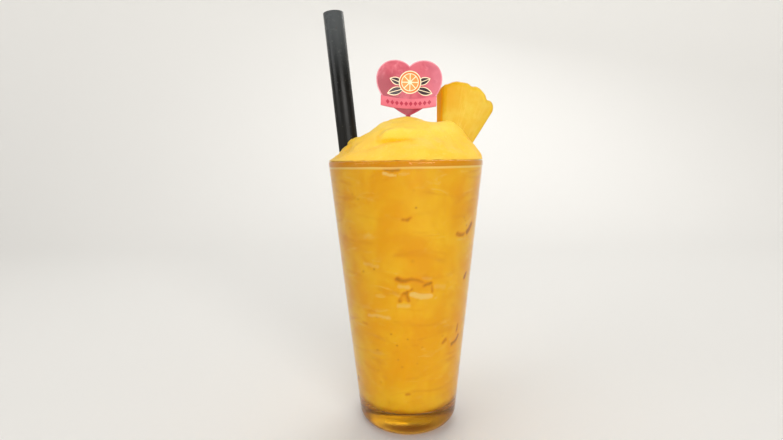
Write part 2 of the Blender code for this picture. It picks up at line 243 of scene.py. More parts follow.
# The print on the heart: a citrus wheel, from its cream edge through the peel to the pulp, and its leaves,
# each by where it starts, its turn in degrees, its length and its width
WHEEL_CENTRE = (0.0005, 0.0186)
WHEEL_EDGE = (0.00635, 0.00622)
PEEL_OUTSIDE = 0.00579
PEEL_INSIDE = 0.00486
PULP_RADIUS = 0.00444
WHEEL_SEGMENTS = 8
LEAVES = (
    ((-0.0030, 0.0150), 196, 0.0090, 0.0019),
    ((-0.0032, 0.0178), 160, 0.0078, 0.0017),
    ((0.0040, 0.0150), -14, 0.0090, 0.0019),
    ((0.0042, 0.0178), 22, 0.0078, 0.0017),
)
LEAF_OUTLINE = 0.0004
PRINT_BLUR = 0.00006

# The stage: a floor that curves up into a wall, and the lamps by place, width, height, power and colour
FLOOR_MIDDLE = (0.0, -5.25, 0.0)
FLOOR_SIZE = (16.0, 13.5, 1.0)
WALL_HEIGHT = 3.0
WALL_CURVE = 1.0
LAMP_AIM = (0.0, 0.0, 0.12)
LAMPS = {
    "key": ((1.50, -3.60, 1.00), 2.7, 2.0, 147.0, (1.0, 0.985, 0.96)),
    "fill": ((-3.30, -1.80, 0.95), 2.4, 1.8, 37.0, (1.0, 1.0, 1.0)),
    "top": ((-0.2, 0.10, 1.1), 0.8, 0.8, 2.4, (1.0, 1.0, 1.0)),
    "back": ((0.3, 0.80, 1.1), 0.8, 0.8, 4.5, (1.0, 1.0, 1.0)),
}
ROOM_COLOUR = (1.0, 0.97, 0.93, 1.0)
ROOM_STRENGTH = 0.36

# The camera: the picture's width and the lens in its pixels, the place, and the turns in degrees
PICTURE_WIDTH = 783.0
LENS_IN_PIXELS = 450.0
SENSOR_WIDTH = 36.0
CAMERA_PLACE = (0.0, -0.262, 0.1555)
CAMERA_HEADING = 1.85
CAMERA_DOWN = 7.6
CAMERA_ROLL = -0.82

# For modelling: the size of the plane that is merged to a line's first point, what counts as one place, and
# how sharp an edge is that gets rounded
SPECK = 0.0001
SAME_PLACE = 0.000002
SHARP = math.radians(50)


def srgb(red, green, blue):
    """A colour named by its screen values, as the shader wants it."""
    parts = [value / 255 for value in (red, green, blue)]
    return tuple(part / 12.92 if part < 0.04045 else ((part + 0.055) / 1.055) ** 2.4 for part in parts)


def smoothstep(low, high, value):
    share = min(1.0, max(0.0, (value - low) / (high - low)))
    return share * share * (3.0 - 2.0 * share)


def arc(centre, radius, start, end, count):
    """Points from angle start to angle end, in degrees, round a centre."""
    angles = [math.radians(start + (end - start) * i / count) for i in range(count + 1)]
    return [(centre[0] + radius * math.cos(a), centre[1] + radius * math.sin(a)) for a in angles]


# Modelling steps that several pieces share

def open_piece(name):
    """Names the primitive just added, settles its place in its mesh, and opens it, all selected."""
    piece = bpy.context.object
    piece.name = name
    piece.data.name = name
    bpy.ops.object.transform_apply(location=True, rotation=True, scale=True)
    bpy.ops.object.mode_set(mode="EDIT")
    bpy.ops.mesh.select_mode(type="VERT")
    bpy.ops.mesh.select_all(action="SELECT")
    return piece


def close_piece(smooth_angle=None):
    bpy.ops.object.mode_set(mode="OBJECT")
    if smooth_angle is None:
        bpy.ops.object.shade_smooth()
    else:
        bpy.ops.object.shade_smooth_by_angle(angle=math.radians(smooth_angle))


def draw_line(name, points):
    """A speck of a plane is merged to one point, which is extruded through the others. It stays open."""
    bpy.ops.object.select_all(action="DESELECT")
    bpy.ops.mesh.primitive_plane_add(size=SPECK, location=points[0])
    piece = open_piece(name)
    bpy.ops.mesh.merge(type="CENTER")
    for here, there in zip(points, points[1:]):
        step = tuple(Vector(there) - Vector(here))
        bpy.ops.mesh.extrude_vertices_move(TRANSFORM_OT_translate={"value": step})
    bpy.ops.mesh.select_all(action="SELECT")
    return piece


def spin_profile(name, profile, steps):
    """A profile of (radius, height) points, spun round the glass's axis into a closed skin."""
    piece = draw_line(name, [(radius, 0.0, height) for radius, height in profile])
    bpy.ops.mesh.spin(steps=steps, angle=math.tau, center=(0.0, 0.0, 0.0), axis=(0.0, 0.0, 1.0))
    bpy.ops.mesh.select_all(action="SELECT")
    bpy.ops.mesh.remove_doubles(threshold=SAME_PLACE)
    bpy.ops.mesh.normals_make_consistent(inside=False)
    return piece


def plate(name, outline, thickness):
    """A flat outline of (x, z) points, filled and extruded along Y to its thickness."""
    piece = draw_line(name, [(x, -thickness / 2, z) for x, z in outline])
    bpy.ops.mesh.edge_face_add()
    bpy.ops.mesh.extrude_region_move(TRANSFORM_OT_translate={"value": (0.0, thickness, 0.0)})
    bpy.ops.mesh.select_all(action="SELECT")
    bpy.ops.mesh.normals_make_consistent(inside=False)
    return piece


def finish_modifier(piece, kind, **settings):
    """Adds a modifier to the piece and applies it."""
    made = piece.modifiers.new(kind.lower(), kind)
    for name, value in settings.items():
        setattr(made, name, value)
    bpy.context.view_layer.objects.active = piece
    bpy.ops.object.modifier_apply(modifier=made.name)


def settle(piece, slot, *replaced):
    """The piece rides on the glass's one body and stands for the frame's node. Its slot is not used."""
    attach(piece, "root")
    if replaced:
        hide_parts(*replaced)


# Shader maths

class Socket:
    """A shader socket. Arithmetic on it adds Math nodes to its recipe."""

    def __init__(self, recipe, socket):
        self.recipe = recipe
        self.socket = socket

    def math(self, operation, *others):
        sockets = dict(enumerate((self, *others)))
        return self.recipe.node("ShaderNodeMath", {"operation": operation}, sockets)

    def __add__(self, other):
        return self.math("ADD", other)

    __radd__ = __add__

    def __mul__(self, other):
        return self.math("MULTIPLY", other)

    __rmul__ = __mul__

    def __sub__(self, other):
        return self.math("SUBTRACT", other)

    def __rsub__(self, other):
        return (self * -1.0) + other

    def __truediv__(self, other):
        return self.math("DIVIDE", other)

    def __abs__(self):
        return self.math("ABSOLUTE")

    def rise(self, low, high):
        """0 below low and 1 above high, smooth between. With low above high it falls instead."""
        settings = {"interpolation_type": "SMOOTHSTEP"}
        turned = low > high
        ends = (high, low) if turned else (low, high)
        made = self.recipe.node("ShaderNodeMapRange", settings, {0: self, 1: ends[0], 2: ends[1]})
        return 1.0 - made if turned else made


class Recipe:
    """One material: its nodes, its Principled shader and the place on the piece that patterns read."""

    def __init__(self, name):
        self.material = bpy.data.materials.new(name)
        self.material.use_nodes = True
        self.tree = self.material.node_tree
        self.shader = self.tree.nodes["Principled BSDF"]
        self.place = self.node("ShaderNodeTexCoord", output="Object")

    def feed(self, socket, value):
        if isinstance(value, Socket):
            self.tree.links.new(value.socket, socket)
        elif hasattr(value, "__len__") and len(value) == 3 and len(socket.default_value) == 4:
            socket.default_value = (*value, 1.0)
        else:
            socket.default_value = value

    def node(self, kind, settings=None, sockets=None, output=0):
        """Any node: its settings first, then the values or links of its sockets."""
        made = self.tree.nodes.new(kind)
        for name, value in (settings or {}).items():
            setattr(made, name, value)
        for name, value in (sockets or {}).items():
            self.feed(made.inputs[name], value)
        return Socket(self, made.outputs[output])

    def noise(self, size, detail=2.0, roughness=0.5, place=None, distortion=0.0):
        """Soft noise from 0 to 1, with lumps about as large as size."""
        sockets = {
            "Vector": place or self.place, "Scale": 1.0 / size, "Detail": detail,
            "Roughness": roughness, "Distortion": distortion,
        }
        return self.node("ShaderNodeTexNoise", None, sockets)

    def cells(self, size):
        """The distance to the nearest of many scattered points, about size apart."""
        sockets = {"Vector": self.place, "Scale": 1.0 / size}
        return self.node("ShaderNodeTexVoronoi", {"feature": "F1"}, sockets, "Distance")

    def moved(self, location=(0.0, 0.0, 0.0), rotation=(0.0, 0.0, 0.0), scale=(1.0, 1.0, 1.0)):
        """The place as seen from a frame that is moved, turned and stretched like this."""
        sockets = {"Vector": self.place, "Location": location, "Rotation": rotation, "Scale": scale}
        return self.node("ShaderNodeMapping", {"vector_type": "TEXTURE"}, sockets)

    def parts(self, place):
        """The x, y and z of a place, as three numbers."""
        split = self.tree.nodes.new("ShaderNodeSeparateXYZ")
        self.feed(split.inputs[0], place)
        return [Socket(self, out) for out in split.outputs]

    def joined(self, x, y, z):
        return self.node("ShaderNodeCombineXYZ", None, {0: x, 1: y, 2: z})

    def mix(self, share, first, second, blend="MIX"):
        """The first colour where share is 0 and the second where it is 1."""
        settings = {"data_type": "RGBA", "blend_type": blend}
        return self.node("ShaderNodeMix", settings, {0: share, 6: first, 7: second}, 2)

    def bump(self, height, distance, strength):
        sockets = {"Height": height, "Distance": distance, "Strength": strength}
        return self.node("ShaderNodeBump", None, sockets)

    def finish(self, **sockets):
        """Sets the shader's sockets, named with underscores for spaces, and gives the material."""
        for name, value in sockets.items():
            self.feed(self.shader.inputs[name.replace("_", " ")], value)
        return self.material


# Materials

def glass_finish():
    """Clear glass with faint smears. Its thick base is tinted amber, a painted stand-in for the drink seen
    refracted through it, and its foot is rubbed dull.
    """
    recipe = Recipe("clear_glass")
    _, _, z = recipe.parts(recipe.place)
    smear = recipe.noise(0.016, 3.0, 0.6).rise(0.50, 0.72)
    drift = recipe.noise(0.011, 3.0, 0.55).rise(0.3, 0.7)
    # Painted refraction: the amber tint stands in for the drink seen through the thick base.
    painted_drink_refraction = recipe.mix(drift, srgb(180, 122, 4), srgb(194, 140, 18))
    base = z.rise(FLOOR_THICKNESS + 0.0045, FLOOR_THICKNESS + 0.0010)
    foot = z.rise(0.0020, 0.0008)
    return recipe.finish(
        Base_Color=recipe.mix(base, (0.985, 0.992, 0.988), painted_drink_refraction),
        Roughness=smear * 0.02 + 0.004 + foot * 0.30, IOR=1.48,
        Transmission_Weight=1.0, Specular_Tint=(0.44, 0.36, 0.24),
    )


def drink_behind_glass(recipe, clouds, marble, tone, below_rim):
    """Deep orange with layers and specks, the marks' painted shade and painted light, the painted shade of
    the band at the rim and the painted gleam under it.
    """
    upright = recipe.noise(0.010, 3.0, 0.5, place=recipe.moved(scale=(1.0, 1.0, 3.2)))
    layers = recipe.noise(0.012, 4.0, 0.6, place=recipe.moved(scale=(2.6, 2.6, 0.7)), distortion=0.8)
    specks = recipe.cells(0.0046).rise(0.17, 0.09) * recipe.noise(0.014, 2.0, 0.5).rise(0.48, 0.60)
    colour = recipe.mix(clouds.rise(0.30, 0.70), srgb(247, 181, 0), srgb(255, 204, 34))
    colour = recipe.mix(upright.rise(0.50, 0.75) * 0.45, colour, srgb(246, 174, 0))
    colour = recipe.mix(marble.rise(0.56, 0.78) * 0.60, colour, srgb(255, 214, 100))
    colour = recipe.mix(layers.rise(0.52, 0.70) * 0.55, colour, srgb(234, 158, 0))
    colour = recipe.mix(specks * 0.75, colour, srgb(216, 140, 0))
    # The marks' painted shade where their shading is below 0, and painted light on their ledges where it is
    # above 0.
    colour = recipe.mix(tone.rise(0.0, -0.45), colour, srgb(236, 160, 0))
    colour = recipe.mix(tone.rise(-0.40, -1.0), colour, srgb(180, 118, 0))
    colour = recipe.mix(tone.rise(0.0, 1.0), colour, srgb(255, 216, 120))
    colour = recipe.mix(below_rim.rise(*reversed(RIM_SHADE)), colour, srgb(230, 156, 0))
    gleam = below_rim.rise(*RIM_SHADE) * below_rim.rise(*reversed(RIM_GLEAM))
    return recipe.mix(gleam * 0.7, colour, srgb(255, 228, 140))


def drink_in_heap(recipe, clouds, marble, tone, z):
    """Pale yellow, paler toward the top, with the dabs: golden to brown painted shade in the hollows, and a
    painted highlight.
    """
    high = z.rise(GLASS_HEIGHT + 0.008, GLASS_HEIGHT + 0.022)
    colour = recipe.mix(clouds.rise(0.35, 0.70), srgb(237, 185, 56), srgb(242, 194, 74))
    colour = recipe.mix(high * 0.85, colour, srgb(246, 212, 84))
    colour = recipe.mix(marble.rise(0.58, 0.80) * 0.35, colour, srgb(250, 218, 112))
    # Painted shade in the hollows, and a painted highlight.
    colour = recipe.mix(tone.rise(0.0, -0.60), colour, srgb(242, 174, 0))
    colour = recipe.mix(tone.rise(-0.60, -1.0), colour, srgb(150, 92, 30))
    return recipe.mix(tone.rise(0.10, 1.0), colour, srgb(255, 240, 190))


def smoothie_finish():
    recipe = Recipe("fruit_smoothie")
    _, _, z = recipe.parts(recipe.place)
    above = z.rise(GLASS_HEIGHT - 0.0005, GLASS_HEIGHT + 0.0006)
    clouds = recipe.noise(0.018, 3.0, 0.55, distortion=0.6)
    marble = recipe.noise(0.007, 4.0, 0.6, place=recipe.moved(scale=(2.2, 2.2, 0.8)), distortion=1.2)
    grain = recipe.noise(0.0009, 2.0, 0.6)
    tone = recipe.node("ShaderNodeAttribute", {"attribute_name": "tone"}, output="Fac")
    below_rim = z * -1.0 + GLASS_HEIGHT + (clouds - 0.5) * 0.0006
    deep = drink_behind_glass(recipe, clouds, marble, tone, below_rim)
    pale = drink_in_heap(recipe, clouds, marble, tone, z)
    colour = recipe.mix(above, deep, pale)
    colour = recipe.mix(grain.rise(0.52, 0.80) * (above * 0.12 + 0.06), colour, srgb(255, 232, 160))
    crystals = recipe.cells(0.0011)
    wet = recipe.noise(0.004, 2.0, 0.5)
    height = (grain * 0.5 + crystals * 0.6) * (above * 0.85 + 0.15)
    return recipe.finish(
        Base_Color=colour, Roughness=wet * 0.25 + 0.30, IOR=1.36, Specular_IOR_Level=0.25,
        Normal=recipe.bump(height, 0.00035, 0.55),
        Subsurface_Weight=0.32, Subsurface_Radius=(1.0, 0.60, 0.20), Subsurface_Scale=0.006,
    )


def straw_finish():
    """Black plastic, drawn lengthways, smudged and a little dusty, with a painted grey sheen toward its
    mouth, and dull lower down.
    """
    recipe = Recipe("black_plastic")
    _, _, z = recipe.parts(recipe.place)
    drawn = recipe.noise(0.0009, 2.0, 0.6, place=recipe.moved(scale=(1.0, 1.0, 40.0)))
    smudge = recipe.noise(0.011, 3.0, 0.6).rise(0.45, 0.70)
    dust = recipe.cells(0.0024).rise(0.16, 0.06)
    colour = recipe.mix(smudge * 0.5, srgb(12, 12, 10), srgb(26, 25, 22))
    # Painted sheen: paler grey toward the mouth.
    colour = recipe.mix(z.rise(0.197, 0.236), colour, srgb(71, 74, 75))
    colour = recipe.mix(dust * 0.20, colour, srgb(120, 118, 108))
    dull = z.rise(0.205, 0.170)
    return recipe.finish(
        Base_Color=colour, Roughness=smudge * 0.10 + drawn * 0.06 + 0.22 + dull * 0.30,
        IOR=1.5, Specular_IOR_Level=0.18,
        Normal=recipe.bump(drawn, 0.00004, 0.5),
        Coat_Weight=smudge * -0.04 + 0.06, Coat_Roughness=0.14,
    )


def chunk_finish():
    """Pineapple flesh. Its fibres fan out from the wedge's apex. Its upper left carries a golden painted
    shade, its left side face a deeper orange painted shade, and its right a darker painted shade.
    """
    recipe = Recipe("pineapple_flesh")
    turn = tuple(CHUNK_PLACING.to_euler())
    x, y, z = recipe.parts(recipe.moved(location=CHUNK_PLACING.to_translation(), rotation=turn))
    fan = x / z
    along_fibres = recipe.joined(fan * 46.0, y * 900.0, z * 60.0)
    along_strands = recipe.joined(fan * 120.0, y * 2000.0, z * 130.0)
    fibres = recipe.noise(1.0, 3.0, 0.6, place=along_fibres, distortion=0.4)
    strands = recipe.noise(1.0, 2.0, 0.5, place=along_strands)
    clouds = recipe.noise(0.006, 3.0, 0.55)
    # Painted shade over the upper left.
    upper_left_painted_shade = (fan * -1.0).rise(-0.05, 0.22) * z.rise(0.040, 0.056)
    left_side = (fan * -1.0).rise(0.272, 0.288)
    colour = recipe.mix(clouds.rise(0.3, 0.7), srgb(208, 168, 40), srgb(212, 182, 64))
    colour = recipe.mix(fibres.rise(0.50, 0.75) * 0.35, colour, srgb(230, 200, 92))
    colour = recipe.mix(upper_left_painted_shade * 0.85, colour, srgb(208, 152, 0))
    # Painted shade: darker toward the right.
    colour = recipe.mix(fan.rise(0.06, 0.24) * 0.45, colour, srgb(194, 156, 46))
    colour = recipe.mix(strands.rise(0.62, 0.80) * 0.15, colour, srgb(190, 130, 6))
    # Painted shade on the left side face: deeper orange than the front.
    colour = recipe.mix(left_side, colour, recipe.mix(fibres, srgb(240, 160, 0), srgb(248, 184, 10)))
    return recipe.finish(
        Base_Color=colour, Roughness=clouds * 0.20 + 0.28 + left_side * 0.4,
        IOR=1.40, Specular_IOR_Level=0.12,
        Normal=recipe.bump(fibres * 0.8 + strands * 0.4, 0.0005, 0.4),
        Subsurface_Weight=0.35, Subsurface_Radius=(1.0, 0.6, 0.2), Subsurface_Scale=0.006,
    )


def heart_place(recipe):
    """The heart's own plane: x across and z up from its tip."""
    local = recipe.moved(location=HEART_TIP, rotation=(0.0, HEART_ROLL, 0.0))
    x, _, z = recipe.parts(local)
    return x, z


PRINT_CREAM = srgb(250, 226, 190)
PRINT_ORANGE = srgb(240, 142, 70)
PRINT_PEEL = srgb(232, 112, 44)
PRINT_DARK = srgb(52, 34, 40)


def leaf_mask(x, z, base, angle, length, width):
    """1 inside a leaf that starts at base and points along angle, and how far places are from its rib."""
    along_x, along_z = math.cos(angle), math.sin(angle)
    from_x = x - base[0]
    from_z = z - base[1]
    along = (from_x * along_x + from_z * along_z) / length
    across = abs(from_x * -along_z + from_z * along_x)
    edge = (along - along * along) * (4.0 * width)
    return (edge - across).rise(-PRINT_BLUR, PRINT_BLUR), across


def disc(reach, radius):
    """1 inside a circle and 0 outside, from how far each place is from its middle."""
    return reach.rise(radius + PRINT_BLUR, radius - PRINT_BLUR)


def citrus_print(recipe, x, z, colour):
    """The printed design: a cut citrus wheel between dark leaves, all with a cream outline."""
    for base, angle, length, width in LEAVES:
        outline, _ = leaf_mask(x, z, base, math.radians(angle), length * 1.06, width + LEAF_OUTLINE)
        inside, across = leaf_mask(x, z, base, math.radians(angle), length, width)
        colour = recipe.mix(outline, colour, PRINT_CREAM)
        colour = recipe.mix(inside * across.rise(0.00012, 0.00024), colour, PRINT_DARK)
    from_x = x - WHEEL_CENTRE[0]
    from_z = z - WHEEL_CENTRE[1]
    reach = (from_x * from_x + from_z * from_z).math("SQRT")
    turn = from_z.math("ARCTAN2", from_x)
    off_spoke = abs((turn * (WHEEL_SEGMENTS / 2)).math("SINE")) * reach
    peel = disc(reach, PEEL_OUTSIDE) * (1.0 - disc(reach, PEEL_INSIDE))
    pulp = disc(reach, PULP_RADIUS) * off_spoke.rise(0.00075, 0.00115) * reach.rise(0.0006, 0.0008)
    colour = recipe.mix(reach.rise(*WHEEL_EDGE), colour, PRINT_CREAM)
    colour = recipe.mix(peel, colour, PRINT_PEEL)
    return recipe.mix(pulp, colour, PRINT_ORANGE)


def pink_pearl(recipe, low, middle, high):
    """Pink plastic with a soft drift of tone, and pale blotches of painted pearly highlight."""
    drift = recipe.noise(0.012, 3.0, 0.55, distortion=1.5)
    # Painted pearly highlight.
    pearly_highlight = recipe.noise(0.005, 3.0, 0.6, distortion=0.8)
    colour = recipe.mix(drift.rise(0.30, 0.62), low, middle)
    return recipe.mix(pearly_highlight.rise(0.52, 0.76) * 0.6, colour, high), drift


def heart_finish():
    recipe = Recipe("pink_plastic")
    x, z = heart_place(recipe)
    colour, drift = pink_pearl(recipe, srgb(178, 66, 84), srgb(198, 92, 106), srgb(216, 130, 142))
    low_left = (x * -1.0).rise(0.000, 0.011) * z.rise(0.027, 0.018)
    colour = recipe.mix(low_left * 0.85, colour, srgb(144, 26, 48))
    colour = recipe.mix(x.rise(0.005, 0.017) * 0.6, colour, srgb(204, 122, 138))
    colour = recipe.mix(z.rise(0.0080, 0.0050), colour, srgb(142, 0, 34))
    colour = citrus_print(recipe, x, z, colour)
    scuff = recipe.noise(0.0006, 2.0, 0.6)
    return recipe.finish(
        Base_Color=colour, Roughness=drift * 0.20 + 0.26, IOR=1.48, Specular_IOR_Level=0.25,
        Normal=recipe.bump(scuff * 0.3 + drift, 0.0003, 0.35),
        Subsurface_Weight=0.08, Subsurface_Radius=(1.0, 0.4, 0.4), Subsurface_Scale=0.001,
        Coat_Weight=0.12, Coat_Roughness=0.12,
    )


def border_finish():
    recipe = Recipe("pink_border")
    _, z = heart_place(recipe)
    # Painted highlight: the border is paler where its edge catches light.
    colour, drift = pink_pearl(recipe, srgb(206, 118, 132), srgb(216, 138, 150), srgb(226, 162, 172))
    colour = recipe.mix(z.rise(0.0090, 0.0045), colour, srgb(164, 44, 70))
    return recipe.finish(Base_Color=colour, Roughness=drift * 0.2 + 0.25, Specular_IOR_Level=0.3)


def banner_finish():
    recipe = Recipe("pink_banner")
    x, z = heart_place(recipe)
    colour, drift = pink_pearl(recipe, srgb(202, 90, 106), srgb(210, 102, 116), srgb(220, 122, 134))
    from_x = (x / DIAMOND_PITCH).math("FRACT") - 0.5
    sag = x * x * (BANNER_SAG / BANNER_HALF_WIDTH**2)
    from_z = (z - BANNER_MIDDLE - sag) / DIAMOND_PITCH
    diamond = (abs(from_x) + abs(from_z) * 0.8).rise(0.45, 0.39)
    within = abs(x).rise(DIAMOND_ROW_END + 0.00005, DIAMOND_ROW_END - 0.00005)
    colour = recipe.mix(diamond * within, colour, srgb(168, 26, 56))
    return recipe.finish(
        Base_Color=colour, Roughness=drift * 0.2 + 0.24, Specular_IOR_Level=0.3,
        Coat_Weight=0.15, Coat_Roughness=0.12,
        Normal=recipe.bump(drift, 0.0003, 0.3),
    )


def backdrop_finish():
    recipe = Recipe("pale_paper")
    fibre = recipe.noise(0.004, 2.0, 0.6)
    colour = recipe.mix(fibre * 0.3, srgb(227, 226, 223), srgb(232, 231, 228))
    return recipe.finish(Base_Color=colour, Roughness=0.75)


# The glass

def outer_radius(height):
    return FOOT_RADIUS + (RIM_RADIUS - FOOT_RADIUS) * height / GLASS_HEIGHT


def inner_radius(height):
    rim_inside = RIM_RADIUS - RIM_WALL
    share = (height - FLOOR_THICKNESS) / (GLASS_HEIGHT - FLOOR_THICKNESS)
    return FLOOR_RADIUS + (rim_inside - FLOOR_RADIUS) * share


def wall_heights(corner_z):
    """The heights of the glass's rings: up the inner wall, and down the outer one."""
    top = GLASS_HEIGHT - RIM_WALL / 2
    heights = [HEEL_ROUNDING + (top - HEEL_ROUNDING) * ring / WALL_RINGS for ring in range(WALL_RINGS + 1)]
    inner = [height for height in heights if height > corner_z + 0.002][:-1]
    return inner, heights[-2:0:-1]


def make_glass():
    corner_z = FLOOR_THICKNESS + FLOOR_ROUNDING
    corner_centre = (inner_radius(corner_z) - FLOOR_ROUNDING, corner_z)
    floor_corner = arc(corner_centre, FLOOR_ROUNDING, -90, 0, CORNER_STEPS)
    lip = RIM_WALL / 2
    rim = arc((RIM_RADIUS - lip, GLASS_HEIGHT - lip), lip, 180, 0, RIM_STEPS)
    heel_centre = (outer_radius(HEEL_ROUNDING) - HEEL_ROUNDING, HEEL_ROUNDING)
    heel = arc(heel_centre, HEEL_ROUNDING, 0, -90, HEEL_STEPS)
    inner_heights, outer_heights = wall_heights(corner_z)
    inner_wall = [(inner_radius(height), height) for height in inner_heights]
    outer_wall = [(outer_radius(height), height) for height in outer_heights]
    floor = [(0.0, FLOOR_THICKNESS), (floor_corner[0][0] * 0.5, FLOOR_THICKNESS)]
    foot = [(FOOT_RING, 0.0), (PUSH_UP_RADIUS, PUSH_UP * 0.6), (0.0, PUSH_UP)]
    profile = [*floor, *floor_corner, *inner_wall, *rim, *outer_wall, *heel, *foot]
    glass = spin_profile("drinking_glass", profile, GLASS_STEPS)
    close_piece(30)
    glass.data.materials.append(glass_finish())
    settle(glass, "clear_glass", "glass")


# The smoothie

def heap_height(radius):
    share = min(1.0, radius / HEAP_RADIUS)
    return HEAP_RISE * (1.0 - share**HEAP_SPREAD_POWER) ** HEAP_SHOULDER_POWER


def heap_rings():
    rings = []
    for ring in range(HEAP_RINGS):
        radius = HEAP_RADIUS * math.sin(math.pi / 2 * ring / HEAP_RINGS)
        rings.append((radius, GLASS_HEIGHT + heap_height(radius)))
    return [*rings, (HEAP_RADIUS, GLASS_HEIGHT + 0.0004)]


def neck_rings(touching):
    """From the heap's edge out and down to the contact line, where the drink is as wide as touching."""
    rings = []
    for ring in range(NECK_RINGS):
        share = ring / NECK_RINGS
        radius = HEAP_RADIUS + (touching - HEAP_RADIUS) * (1.0 - (1.0 - share) ** NECK_CURVE)
        rings.append((radius, GLASS_HEIGHT - CONTACT_BELOW_RIM * share))
    return rings


def smoothie_profile():
    """From the heap's top out to the rim, down the wall just inside the glass, and along the floor."""
    neck = neck_rings(inner_radius(CONTACT_Z) + WALL_REACH)
    corner_z = FLOOR_THICKNESS + FLOOR_ROUNDING
    rings = round((CONTACT_Z - corner_z) / WALL_RING)
    heights = [CONTACT_Z + (corner_z - CONTACT_Z) * ring / rings for ring in range(rings)]
    wall = [(inner_radius(height) + WALL_REACH, height) for height in heights]
    corner_centre = (inner_radius(corner_z) - FLOOR_ROUNDING, corner_z)
    corner = arc(corner_centre, FLOOR_ROUNDING + WALL_REACH, 0, -90, CORNER_STEPS)
    floor = [(corner[-1][0] * share, FLOOR_THICKNESS - WALL_REACH) for share in (0.75, 0.5, 0.25, 0.0)]
    return [*heap_rings(), *neck, *wall, *corner, *floor]


def leftness(point):
    """1 at the far left of the rim, and less and less away from it."""
    turn = math.atan2(point.y, point.x)
    return math.exp(-(((math.pi - abs(turn)) / SPILL_SPREAD) ** 4))


def shape_heap_point(point):
    """Moves a point above the rim: the bulge over the rim's right, the rises and hollows, and the crags."""
    above = point.z - GLASS_HEIGHT
    radius = math.hypot(point.x, point.y)
    out = Vector((point.x, point.y, 0.0)) / max(radius, 0.0001)
    turn = math.atan2(point.y, point.x)
    push = RIGHT_BULGE * math.exp(-((turn / RIGHT_BULGE_SPREAD) ** 2))
    push *= BULGE_AT_RIM + (1.0 - BULGE_AT_RIM) * smoothstep(*BULGE_HEIGHTS, above)
    push *= smoothstep(*BULGE_RADII, radius)
    spill = smoothstep(*SPILL_HEIGHTS, above) * smoothstep(*SPILL_RADII, radius)
    push += SPILL_REACH * leftness(point) * spill
    moved = point + out * push
    free = smoothstep(*CRAG_HEIGHTS, above)
    for x, y, wide, deep, rise in HEAP_FORMS:
        apart = ((moved.x - x) / wide) ** 2 + ((moved.y - y) / deep) ** 2
        moved.z += free * rise * math.exp(-apart / 2.0)
    rough = 1.0 + LEFT_ROUGHNESS * smoothstep(*LEFT_CRUMBS, moved.x)
    for size, depth in CRAGS:
        crag = depth * rough * noise.noise(moved / size)
        rough = min(rough * 1.2, 1.0 + LEFT_ROUGHNESS) if rough > 1.0 else rough
        moved += (out * 0.6 + Vector((0.0, 0.0, 0.8))) * crag * free
    return moved


def shape_neck_point(point):
    """Moves a point between the rim and the contact line: the line wanders, and the left fills the gap."""
    radius = math.hypot(point.x, point.y)
    out = Vector((point.x, point.y, 0.0)) / radius
    gap = inner_radius(point.z) + WALL_REACH - radius
    wander = NECK_WANDER * noise.noise(point / NECK_WAVE)
    return point + out * (gap * leftness(point) + min(wander, gap))


def shape_smoothie(piece):
    """Shapes the heap above the rim, and the neck between the rim and the contact line."""
    for vertex in piece.data.vertices:
        if vertex.co.z > GLASS_HEIGHT + 0.0002:
            vertex.co = shape_heap_point(vertex.co)
        elif vertex.co.z > CONTACT_Z + 0.0001:
            vertex.co = shape_neck_point(vertex.co)


def back_marks():
    """A few more marks round the back, from a seeded draw: each a dark painted shade, with a pale ledge of
    painted light below.
    """
    draw = random.Random(7)
    marks = []
    for _ in range(BACK_MARKS):
        turn = draw.uniform(100, 260)
        height = draw.uniform(35, 140)
        wide = draw.uniform(2.0, 8.0)
        lift = draw.uniform(-2.5, 2.5)
        half = draw.uniform(0.6, 1.3)
        hollow = ((turn - wide, height - lift), (turn + wide, height + lift))
        ledge = ((turn - wide, height - lift - 3.4), (turn + wide, height - 2.6))
        marks += [(hollow, half, -0.7), (ledge, half, 0.8)]
    return marks


def from_stroke(place, points):
    """How far a place lies from a stroke's nearest part."""
    nearest = 1000.0
    for start, end in zip(points, points[1:]):
        line = end - start
        share = min(1.0, max(0.0, (place - start).dot(line) / line.length_squared))
        nearest = min(nearest, (place - start - line * share).length)
    return nearest


def laid_marks():
    """Each mark with its points in mm along and up the wall, and how high and low it reaches."""
    laid = []
    for points, half, tone in (*MARKS.values(), *back_marks()):
        radius = inner_radius(points[0][1] / 1000.0) * 1000.0
        flat = [Vector((math.radians(turn) * radius, height)) for turn, height in points]
        heights = [height for _, height in points]
        laid.append((flat, radius, half, tone, min(heights) - 2.0 * half, max(heights) + 2.0 * half))
    return laid


def painted_shading_at(point, marks):
    """The painted shading of the marks at a point on the wall: later marks cover earlier ones."""
    height = point.z * 1000.0
    tone = 0.0
    for flat, radius, half, mark_painted_shading, lowest, highest in marks:
        if not lowest < height < highest:
            continue
        turn = math.atan2(point.x, -point.y)
        round_the_back = flat[0].x > math.radians(95) * radius
        if round_the_back and turn < 0.0:
            turn += math.tau
        apart = from_stroke(Vector((turn * radius, height)), flat)
        apart += sum(depth * noise.noise(point / size) for size, depth in MARK_WANDER)
        cover = smoothstep(half + MARK_EDGE[0], half + MARK_EDGE[1], apart)
        tone += (mark_painted_shading - tone) * cover
    return tone


def press_marks(piece):
    """Presses the marks a little into the wall, and keeps each point's painted shade or light for the
    finish to read.
    """
    marks = laid_marks()
    tones = piece.data.attributes.new("tone", "FLOAT", "POINT")
    for vertex, kept in zip(piece.data.vertices, tones.data):
        point = vertex.co
        if point.z > CONTACT_Z + 0.0002:
            kept.value = heap_painted_shading(point)
        elif point.z > FLOOR_THICKNESS + FLOOR_ROUNDING:
            tone = painted_shading_at(point, marks)
            kept.value = tone
            out = Vector((point.x, point.y, 0.0)).normalized()
            vertex.co = point - out * MARK_DEPTH * abs(tone)


